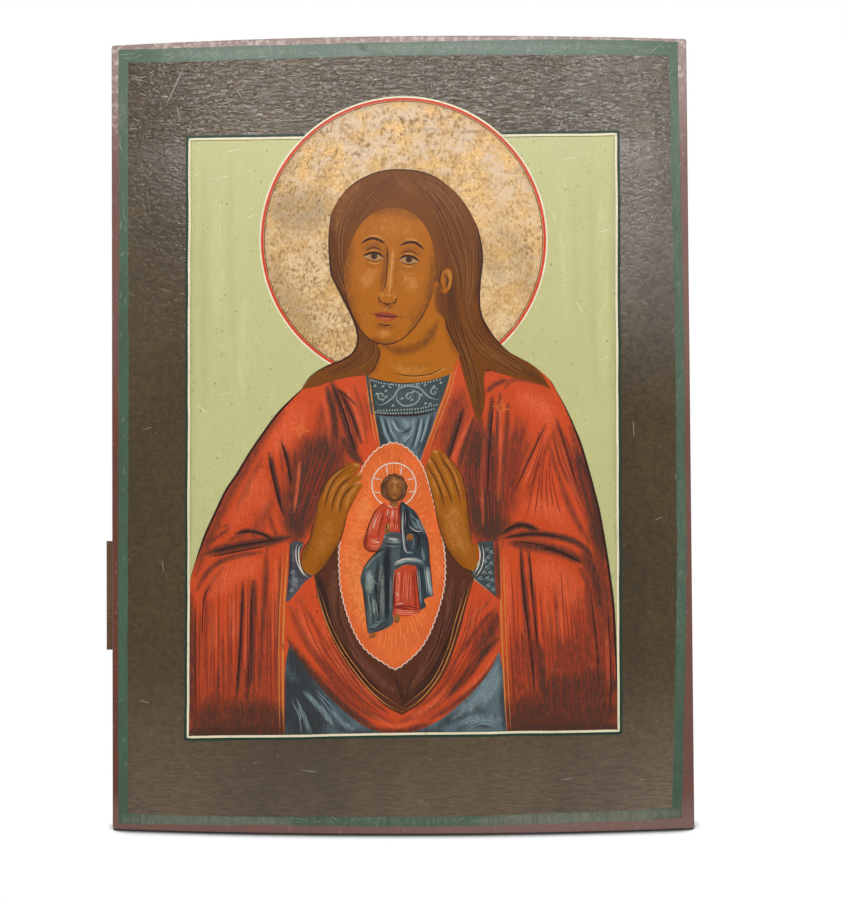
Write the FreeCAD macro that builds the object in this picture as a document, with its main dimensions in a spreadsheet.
import FreeCAD, Part
import os

# Icon panel: three upright boards with a bowed face, linen and gesso on the front,
# two tapered dovetail battens across the back and a forged ring to hang it by.
# The painted face looks towards -Y, +Z is up, and lengths are in millimetres.

App = FreeCAD
Vector = App.Vector

# Driving dimensions
SIZES = {
    # Panel
    "panel_width": 391.5,           # across the painted face, edge to edge
    "panel_height": 533,
    "bow_depth": 11,                # how far the face's middle stands in front of its sides
    "board_thickness": 28,
    "linen_thickness": 0.6,
    "gesso_thickness": 1.8,
    "glue_film": 0.1,               # between the boards and the linen
    "left_board_width": 121,        # along the back
    "right_board_width": 112,       # along the back
    "panel_corner_radius": 2.2,
    "back_edge_bevel": 2.5,
    "gesso_edge_radius": 1.1,
    "gesso_setback": 0.5,           # bare wood at the top and bottom edges
    # Dowels inside the two joints
    "dowel_diameter": 10,
    "dowel_length": 60,
    "dowel_margin": 62,             # first and last dowel, from the panel's bottom and top
    "dowel_glue_gap": 0.1,
    # Battens and their grooves
    "groove_depth": 9,
    "batten_proud": 6,              # how far a batten stands out of the back
    "batten_width": 63.5,           # halfway along, where it leaves the board
    "batten_taper": 1.05,           # degrees, each long side
    "batten_dovetail": 15,          # degrees, each long side
    "batten_bevel": 2.2,
    "batten_gap": 0.3,              # clearance all round in its groove
    "lower_batten_centre": 155.5,   # above the panel's bottom
    "upper_batten_drop": 159,       # its centre below the panel's top
    "lower_batten_reach": 13,       # wide end past the panel's side
    "upper_batten_reach": 2,
    "batten_short_end": 3,          # narrow end inside the panel's side
    # Ring and staple
    "ring_drop": 47,                # ring's hinge below the panel's top
    "ring_wire": 4.2,               # hammered bar, across its corners
    "ring_diameter": 38,            # outside
    "ring_standoff": 1.2,           # between the ring and the back
    "ring_play": 0.3,               # between the ring's wire and the staple's lower leg
    "staple_wire": 3.2,             # square bar
    "staple_gap": 6.6,              # between its legs
    "staple_leg": 19,               # in the wood, with the point
    "staple_point": 6,
    "staple_tip": 0.5,              # thickness of the chisel point's end
    "staple_hole_gap": 0.1,
    "cut_overrun": 10,              # how far cutting solids run past what they cut
}

doc = App.newDocument("icon_panel")
sheet = doc.addObject("Spreadsheet::Sheet", "params")
for row, (alias, size) in enumerate(SIZES.items(), start=1):
    sheet.set(f"A{row}", alias)
    sheet.set(f"B{row}", str(size))
    sheet.setAlias(f"B{row}", alias)
doc.recompute()


def arc_angle(length, radius):
    """Expression for the angle of an arc of this length."""
    return f"(({length}) / ({radius}) * 1 rad)"


def number(expression):
    """Value of an expression, in millimetres or degrees."""
    value = sheet.evalExpression(expression)
    return value.Value if hasattr(value, "Value") else float(value)


# Radii about the bow's upright axis, from the painted face to the battens' backs
FACE_RADIUS = "(params.panel_width ^ 2 / (8 * params.bow_depth) + params.bow_depth / 2)"
LINEN_RADIUS = f"({FACE_RADIUS} - params.gesso_thickness)"
LINEN_BACK_RADIUS = f"({LINEN_RADIUS} - params.linen_thickness)"
BOARD_RADIUS = f"({LINEN_BACK_RADIUS} - params.glue_film)"
BACK_RADIUS = f"({BOARD_RADIUS} - params.board_thickness)"
GROOVE_RADIUS = f"({BACK_RADIUS} + params.groove_depth)"
BATTEN_FRONT_RADIUS = f"({GROOVE_RADIUS} - params.batten_gap)"
BATTEN_REAR_RADIUS = f"({BACK_RADIUS} - params.batten_proud)"
INSIDE_RADIUS = f"({BATTEN_REAR_RADIUS} - params.cut_overrun)"

# Angles about the same axis, from straight ahead, positive towards the viewer's right
HALF_ANGLE = f"asin(params.panel_width / 2 / {FACE_RADIUS})"
LEFT_JOINT = f"({arc_angle('params.left_board_width', BACK_RADIUS)} - {HALF_ANGLE})"
RIGHT_JOINT = f"({HALF_ANGLE} - {arc_angle('params.right_board_width', BACK_RADIUS)})"
LOWER_WIDE_END = f"({HALF_ANGLE} + {arc_angle('params.lower_batten_reach', BACK_RADIUS)})"
UPPER_WIDE_END = f"({HALF_ANGLE} + {arc_angle('params.upper_batten_reach', BACK_RADIUS)})"
NARROW_END = f"({HALF_ANGLE} - {arc_angle('params.batten_short_end', BACK_RADIUS)})"

# The origin is the middle of the whole object's footprint, so the bow's axis lies off it.
# The lower batten's wide end is the leftmost point and the panel's right side the rightmost.
AXIS_X = f"(({BATTEN_FRONT_RADIUS} * sin({LOWER_WIDE_END}) - params.panel_width / 2) / 2)"
DEPTH = f"({FACE_RADIUS} - {BATTEN_REAR_RADIUS} * cos({LOWER_WIDE_END}))"
AXIS_Y = f"({FACE_RADIUS} - {DEPTH} / 2)"

# Heights of the battens' centre lines
LOWER_CENTRE = "params.lower_batten_centre"
UPPER_CENTRE = "(params.panel_height - params.upper_batten_drop)"

# How a dovetail spreads with depth, and how far its taper lifts a long side
DOVETAIL_SLOPE = "tan(params.batten_dovetail * 1 deg)"
TAPER_RISE = "(params.panel_width / 2 * tan(params.batten_taper * 1 deg))"
FLANK_REACH = f"(2 * ({TAPER_RISE} + params.groove_depth + params.batten_proud + 2 * params.cut_overrun))"
GROOVE_END = f"({HALF_ANGLE} + {arc_angle('params.cut_overrun', BACK_RADIUS)})"

# The ring's hinge line lies in its wire, just above the staple's lower leg
BACK_Y = f"({AXIS_Y} - {BACK_RADIUS})"
RING_Y = f"({BACK_Y} + params.ring_standoff + params.ring_wire / 2)"
STAPLE_STAND = f"({RING_Y} - {BACK_Y})"
STAPLE_SPREAD = "((params.staple_gap + params.staple_wire) / 2)"
RING_HINGE_Z = (
    "(params.panel_height - params.ring_drop - params.staple_gap / 2"
    " + params.ring_play + params.ring_wire / 2)"
)

# How many flats the hammer left round the ring's bar
RING_FACETS = 10

# Where the middle dowels sit between the lowest and the highest
DOWEL_MIDDLE_SHARE = 0.5

# Lengths that differ by less than this share of the glue film count as the same
SAME_SHARE = 0.1


def bind(item, **expressions):
    """Bind properties of an object to expressions."""
    for name, expression in expressions.items():
        item.setExpression(name, expression)


def place(item, x=None, y=None, z=None, angle=None):
    """Bind an object's position and its turn about its own placement axis."""
    for path, expression in (("Base.x", x), ("Base.y", y), ("Base.z", z), ("Rotation.Angle", angle)):
        if expression is not None:
            item.setExpression(f"Placement.{path}", expression)


def turned(axis, degrees=0):
    """Placement at the origin, turned about an axis."""
    return App.Placement(Vector(0, 0, 0), App.Rotation(axis, degrees))


def cut(name, base, *tools):
    """Take tools out of a solid, one after another."""
    for count, tool in enumerate(tools, start=1):
        step = doc.addObject("Part::Cut", name if count == len(tools) else f"{name}_cut_{count}")
        step.Base = base
        step.Tool = tool
        base = step
    return base


def cylinder(name, radius, height, bottom, start=None, sweep="360 deg"):
    """Upright cylinder about the bow's axis, or a sector of one from a start angle."""
    solid = doc.addObject("Part::Cylinder", name)
    solid.Placement = turned(Vector(0, 0, 1), 1)
    bind(solid, Radius=radius, Height=height, Angle=sweep)
    place(solid, x=AXIS_X, y=AXIS_Y, z=bottom, angle=f"270 deg + {start}" if start else "0 deg")
    return solid


def bowed_slab(name, outer, inner, start, end, bottom, height):
    """Piece of a bowed wall, between two radii and two angles."""
    sweep = f"{end} - {start}"
    core_bottom = f"{bottom} - params.cut_overrun"
    core_height = f"{height} + 2 * params.cut_overrun"
    blank = cylinder(f"{name}_blank", outer, height, bottom, start, sweep)
    core = cylinder(f"{name}_core", inner, core_height, core_bottom)
    return cut(name, blank, core)


def flank_cone(name, side, lean, centre, edge, slope):
    """Cone that planes one long side of a batten.

    side is 1 for the upper side and -1 for the lower one, and lean is 1 where the batten
    is wide at the viewer's left. edge is the planed side's height above the batten's
    centre line, level with the boards' back, and slope is how it spreads with depth.
    """
    start = f"({edge} - ({BACK_RADIUS} - {INSIDE_RADIUS}) * {slope})"
    tilt = f"{side * lean} * params.batten_taper * 1 deg"
    cone = doc.addObject("Part::Cone", name)
    cone.Placement = turned(Vector(0, 1, 0), 1)
    wide_radius = f"{INSIDE_RADIUS} + {FLANK_REACH} / {slope}"
    bind(cone, Height=FLANK_REACH, Radius1=INSIDE_RADIUS, Radius2=wide_radius)
    if side > 0:
        place(cone, x=AXIS_X, y=AXIS_Y, z=f"{centre} + {start}", angle=f"360 deg + {tilt}")
    else:
        place(cone, x=AXIS_X, y=AXIS_Y, z=f"{centre} - {start}", angle=f"180 deg + {tilt}")
    return cone


def dovetail_bar(name, centre, lean, start, end, front, growth, bevelled):
    """Tapered dovetail bar along the bow: a batten, or the cutter for its groove."""
    half = f"(params.batten_width / 2 + {growth})"
    blank_half = f"({half} + {TAPER_RISE} + params.groove_depth + params.cut_overrun)"
    bottom = f"{centre} - {blank_half}"
    bar = bowed_slab(f"{name}_bar", front, BATTEN_REAR_RADIUS, start, end, bottom, f"2 * {blank_half}")
    bevel_edge = f"({half} + params.batten_proud * (1 - {DOVETAIL_SLOPE}) - params.batten_bevel)"
    cones = []
    for side, word in ((1, "upper"), (-1, "lower")):
        cones.append(flank_cone(f"{name}_{word}_flank", side, lean, centre, half, DOVETAIL_SLOPE))
        if bevelled:
            cones.append(flank_cone(f"{name}_{word}_bevel", side, lean, centre, bevel_edge, "1"))
    return cut(name, bar, *cones)


def edges_where(solid, test):
    """Numbers of the edges whose middle passes a test, for a fillet or chamfer."""
    doc.recompute()
    found = []
    for index, edge in enumerate(solid.Shape.Edges, start=1):
        middle = edge.valueAt((edge.FirstParameter + edge.LastParameter) / 2)
        if test(edge, middle):
            found.append(index)
    return found


def radius_at(point):
    """Distance of a point from the bow's axis."""
    return ((point.x - number(AXIS_X)) ** 2 + (point.y - number(AXIS_Y)) ** 2) ** 0.5


def is_near(one, other):
    """Whether two lengths are the same to the eye."""
    return abs(one - other) < SAME_SHARE * number("params.glue_film")


def runs_front_to_back(edge):
    """Whether an edge is a straight one that points from the face to the back."""
    if edge.Curve.TypeId != "Part::GeomLine":
        return False
    first, last = edge.valueAt(edge.FirstParameter), edge.valueAt(edge.LastParameter)
    return is_near(first.z, last.z)


def round_corners(name, solid, at_left, at_right):
    """Round the panel's corners, as seen from the front, where a layer or board has them."""
    middle_x = number(AXIS_X)

    def is_corner(edge, middle):
        at_side = at_left if middle.x < middle_x else at_right
        return at_side and runs_front_to_back(edge)

    fillet = doc.addObject("Part::Fillet", name)
    fillet.Base = solid
    size = number("params.panel_corner_radius")
    fillet.Edges = [(index, size, size) for index in edges_where(solid, is_corner)]
    return fillet


def bevel_back(name, solid, joints):
    """Plane a bevel along the outer edges of a board's back, but not along its joints."""
    back = number(BACK_RADIUS)
    joint_places = [number(f"{AXIS_X} + {BACK_RADIUS} * sin({angle})") for angle in joints]

    def is_outer(edge, middle):
        upright = edge.Curve.TypeId == "Part::GeomLine"
        at_joint = any(is_near(middle.x, x) for x in joint_places)
        return is_near(radius_at(middle), back) and not (upright and at_joint)

    chamfer = doc.addObject("Part::Chamfer", name)
    chamfer.Base = solid
    size = number("params.back_edge_bevel")
    chamfer.Edges = [(index, size, size) for index in edges_where(solid, is_outer)]
    return chamfer


# Boards

def make_board(label, start, end, grooves, holes):
    """One upright board, between two angles about the bow's axis."""
    board = bowed_slab(f"{label}_slab", BOARD_RADIUS, BACK_RADIUS, start, end, "0", "params.panel_height")
    joints = [angle for angle in (start, end) if angle in (LEFT_JOINT, RIGHT_JOINT)]
    board = bevel_back(f"{label}_bevel", board, joints)
    at_left, at_right = start not in joints, end not in joints
    if at_left or at_right:
        board = round_corners(f"{label}_corners", board, at_left, at_right)
    return cut(label, board, *grooves, *holes)


def make_dowels(name, radius, length):
    """Three dowels across each of the two joints, or the holes for them."""
    joints = []
    for word, angle in (("left", LEFT_JOINT), ("right", RIGHT_JOINT)):
        pins = []
        for share, place_word in ((0, "low"), (DOWEL_MIDDLE_SHARE, "middle"), (1, "high")):
            pin = doc.addObject("Part::Cylinder", f"{name}_{word}_{place_word}")
            pin.Placement = turned(Vector(0, 1, 0), 90)
            bind(pin, Radius=radius, Height=length)
            height = f"params.dowel_margin + {share} * (params.panel_height - 2 * params.dowel_margin)"
            place(pin, x=f"-{length} / 2", y=f"-({BOARD_RADIUS} - params.board_thickness / 2)", z=height)
            pins.append(pin)
        joint = doc.addObject("Part::Compound", f"{name}_{word}")
        joint.Links = pins
        joint.Placement = turned(Vector(0, 0, 1), 1)
        place(joint, x=AXIS_X, y=AXIS_Y, angle=f"360 deg + {angle}")
        joints.append(joint)
    dowels = doc.addObject("Part::Compound", name)
    dowels.Links = joints
    return dowels


# Linen and gesso over the face

def make_layer(label, outer, inner, edge_radius=None):
    """Layer over the whole face, a little short of the top and bottom edges."""
    bottom, height = "params.gesso_setback", "params.panel_height - 2 * params.gesso_setback"
    layer = bowed_slab(f"{label}_sheet", outer, inner, f"-{HALF_ANGLE}", HALF_ANGLE, bottom, height)
    layer = round_corners(f"{label}_corners", layer, True, True)
    if edge_radius:
        face = number(outer)
        fillet = doc.addObject("Part::Fillet", f"{label}_edge")
        fillet.Base = layer
        size = number(edge_radius)
        rim = edges_where(layer, lambda edge, middle: is_near(radius_at(middle), face))
        fillet.Edges = [(index, size, size) for index in rim]
        layer = fillet
    return layer


# Ring and staple

def turned_bar(name, section, degrees):
    """Bar bent round the X axis of its own frame, from a section drawn beside it."""
    bar = doc.addObject("Part::Revolution", name)
    bar.Source = section
    bar.Axis = Vector(1, 0, 0)
    bar.Angle = degrees
    bar.Solid = True
    return bar


def make_staple(name, growth, with_bow):
    """Two chisel-pointed legs of square bar and the bow that joins them, or the holes for the legs."""
    side = f"(params.staple_wire + 2 * {growth})"
    corner = f"-{side} / 2"
    shank = "(params.staple_leg - params.staple_point)"
    parts = []
    for level, word in ((1, "upper"), (-1, "lower")):
        bottom = f"{level} * {STAPLE_SPREAD} - {side} / 2"
        leg = doc.addObject("Part::Box", f"{name}_{word}_leg")
        bind(leg, Length=side, Width=f"{STAPLE_STAND} + {shank}", Height=side)
        place(leg, x=corner, y=f"-({STAPLE_STAND} + {shank})", z=bottom)
        point = doc.addObject("Part::Wedge", f"{name}_{word}_point")
        narrow, wide = f"({side} - params.staple_tip) / 2", f"({side} + params.staple_tip) / 2"
        bind(point, Xmin="0", Xmax=side, Zmin=narrow, Zmax=wide, Ymin="0", Ymax=f"params.staple_point + {growth}")
        bind(point, X2min="0", X2max=side, Z2min="0", Z2max=side)
        place(point, x=corner, y=f"-({STAPLE_STAND} + params.staple_leg + {growth})", z=bottom)
        parts += [leg, point]
    if with_bow:
        section = doc.addObject("Part::Plane", f"{name}_bow_section")
        section.Placement = turned(Vector(1, 0, 0), 90)
        bind(section, Length=side, Width=side)
        place(section, x=corner, z=f"{STAPLE_SPREAD} - {side} / 2")
        parts.append(turned_bar(f"{name}_bow", section, -180))
    staple = doc.addObject("Part::MultiFuse", name)
    staple.Shapes = parts
    staple.Refine = True
    place(staple, x=AXIS_X, y=RING_Y, z="params.panel_height - params.ring_drop")
    return staple


def make_ring(name):
    """Forged ring of hammered bar that hangs from the staple's lower leg."""
    section = doc.addObject("Part::RegularPolygon", f"{name}_section")
    section.Polygon = RING_FACETS
    bind(section, Circumradius="params.ring_wire / 2")
    place(section, y="(params.ring_diameter - params.ring_wire) / 2")
    ring = turned_bar(name, section, 360)
    ring.Placement = turned(Vector(0, 0, 1), 90)
    place(ring, x=AXIS_X, y=RING_Y, z=f"{RING_HINGE_Z} - (params.ring_diameter - params.ring_wire) / 2")
    return ring


lower_groove = dovetail_bar(
    "lower_groove", LOWER_CENTRE, 1, f"-{GROOVE_END}", GROOVE_END, GROOVE_RADIUS,
    "params.batten_gap", False
)
upper_groove = dovetail_bar(
    "upper_groove", UPPER_CENTRE, -1, f"-{GROOVE_END}", GROOVE_END, GROOVE_RADIUS,
    "params.batten_gap", False
)
dowel_holes = make_dowels(
    "dowel_holes", "(params.dowel_diameter / 2 + params.dowel_glue_gap)",
    "(params.dowel_length + 2 * params.dowel_glue_gap)"
)
staple_holes = make_staple("staple_holes", "params.staple_hole_gap", False)
grooves = (lower_groove, upper_groove)

nodes = {
    "board_left": make_board("board_left", f"-{HALF_ANGLE}", LEFT_JOINT, grooves, (dowel_holes,)),
    "board_middle": make_board("board_middle", LEFT_JOINT, RIGHT_JOINT, grooves, (dowel_holes, staple_holes)),
    "board_right": make_board("board_right", RIGHT_JOINT, HALF_ANGLE, grooves, (dowel_holes,)),
    "joint_dowels": make_dowels("joint_dowels", "params.dowel_diameter / 2", "params.dowel_length"),
    "linen_canvas": make_layer("linen_canvas", LINEN_RADIUS, LINEN_BACK_RADIUS),
    "gesso_ground": make_layer("gesso_ground", FACE_RADIUS, LINEN_RADIUS, "params.gesso_edge_radius"),
    "lower_batten": dovetail_bar(
        "lower_batten", LOWER_CENTRE, 1, f"-{LOWER_WIDE_END}", NARROW_END,
        BATTEN_FRONT_RADIUS, "0", True
    ),
    "upper_batten": dovetail_bar(
        "upper_batten", UPPER_CENTRE, -1, f"-{NARROW_END}", UPPER_WIDE_END,
        BATTEN_FRONT_RADIUS, "0", True
    ),
    "ring_staple": make_staple("ring_staple", "0", True),
    "hanging_ring": make_ring("hanging_ring"),
}
doc.recompute()

for item in doc.Objects:
    if "Invalid" in item.State or "Error" in item.State:
        raise RuntimeError(f"{item.Name} failed: {item.State}")
os.makedirs("parts", exist_ok=True)
for label, item in nodes.items():
    item.Label = label
    shape = item.Shape
    if shape.isNull() or not shape.isValid():
        raise RuntimeError(f"{label} has no valid shape")
    if not shape.Solids:
        raise RuntimeError(f"{label} holds no solid")
    shape.exportStep(f"parts/{label}.step")
    print(label, len(shape.Solids), "solids", round(shape.Volume), "cubic mm")
print("bow axis x", round(number(AXIS_X), 3), "y", round(number(AXIS_Y), 3))
print("face radius", round(number(FACE_RADIUS), 3), "half angle", round(number(HALF_ANGLE), 4))
print("ring hinge y", round(number(RING_Y), 3), "z", round(number(RING_HINGE_Z), 3))
